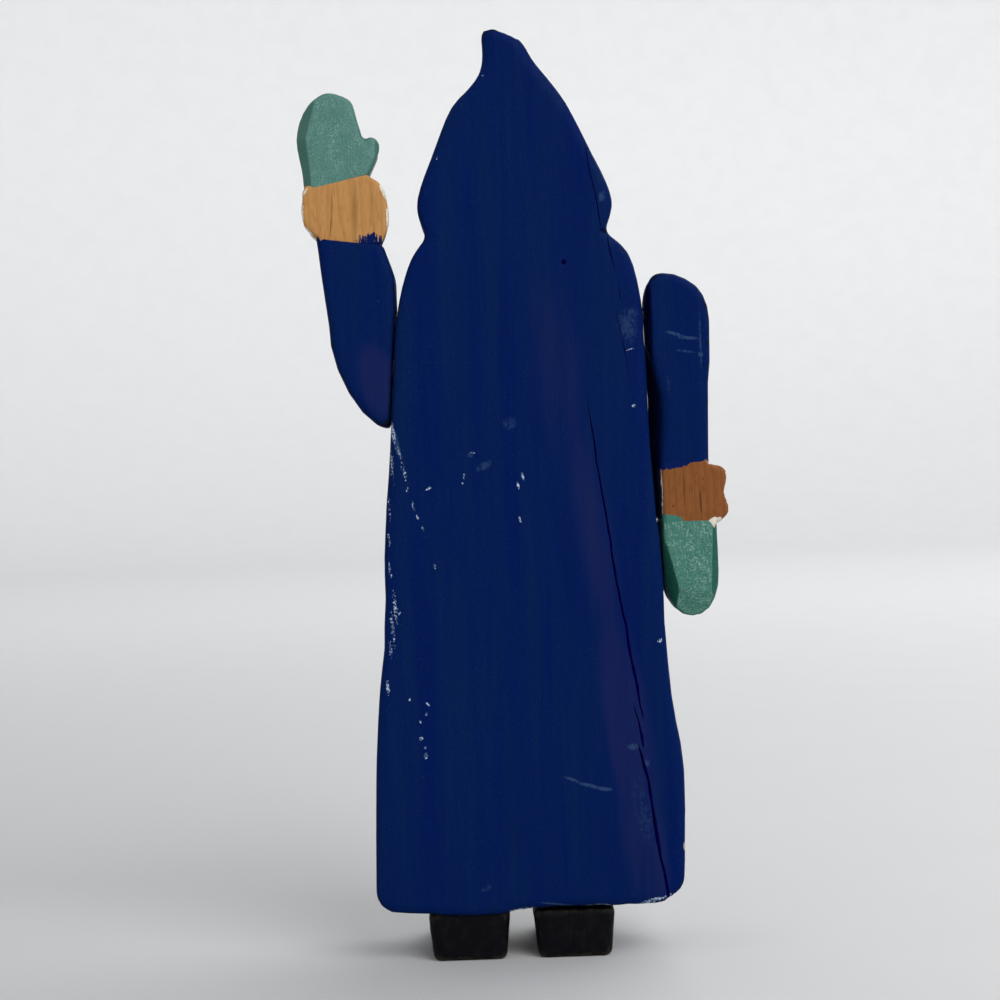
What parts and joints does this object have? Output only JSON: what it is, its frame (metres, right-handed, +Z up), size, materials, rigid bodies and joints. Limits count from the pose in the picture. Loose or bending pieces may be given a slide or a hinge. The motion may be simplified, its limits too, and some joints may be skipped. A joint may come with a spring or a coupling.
{
  "type": "carved wooden santa figurine",
  "caption": "Standing carved wooden Father Christmas in a hooded blue robe with fur trims, a full beard, mittens, boots and pegged arms that turn.",
  "frame": {"origin": "middle of the bounding box at the soles, on the surface that the figure stands on", "axes": "+Z up, -Y the way the face looks, +X the figure's left, where the raised arm is"},
  "size_m": [0.1374, 0.052, 0.3043],
  "materials": {
    "blue_paint": "satin deep blue brushed paint, worn at the edges",
    "white_paint": "matt off-white brushed paint",
    "face_paint": "matt skin-coloured paint",
    "nose_paint": "satin rosy paint",
    "left_cuff_wood": "bare light pine with growth rings",
    "right_cuff_wood": "bare brown pine with growth rings",
    "left_mitten_green": "mottled grey-green paint",
    "right_mitten_green": "mottled teal-green paint",
    "dowel_wood": "bare hardwood dowel",
    "black_paint": "satin black paint"
  },
  "bodies": {
    "figure": {"robe_body": "blue_paint", "face": "face_paint", "nose": "nose_paint", "moustache": "white_paint", "beard": "white_paint", "hood_trim": "white_paint", "front_trim": "white_paint", "hem_trim": "white_paint", "left_shoulder_peg": "dowel_wood", "right_shoulder_peg": "dowel_wood", "left_boot": "black_paint", "left_boot_dowel": "dowel_wood", "right_boot": "black_paint", "right_boot_dowel": "dowel_wood"},
    "left_arm": {"left_sleeve": "blue_paint", "left_cuff": "left_cuff_wood", "left_mitten": "left_mitten_green", "left_wrist_dowel": "dowel_wood"},
    "right_arm": {"right_sleeve": "blue_paint", "right_cuff": "right_cuff_wood", "right_mitten": "right_mitten_green", "right_wrist_dowel": "dowel_wood"}
  },
  "joints": [
    {"name": "left_shoulder", "type": "hinge", "parent": "figure", "child": "left_arm", "pos_m": [0.03953, 0.0155, 0.1947], "axis": [0.9966, 0, 0.0819], "range_deg": [-45, 180]},
    {"name": "right_shoulder", "type": "hinge", "parent": "figure", "child": "right_arm", "pos_m": [-0.04283, 0.0155, 0.2079], "axis": [-1, 0, 0], "range_deg": [-45, 180]}
  ]
}
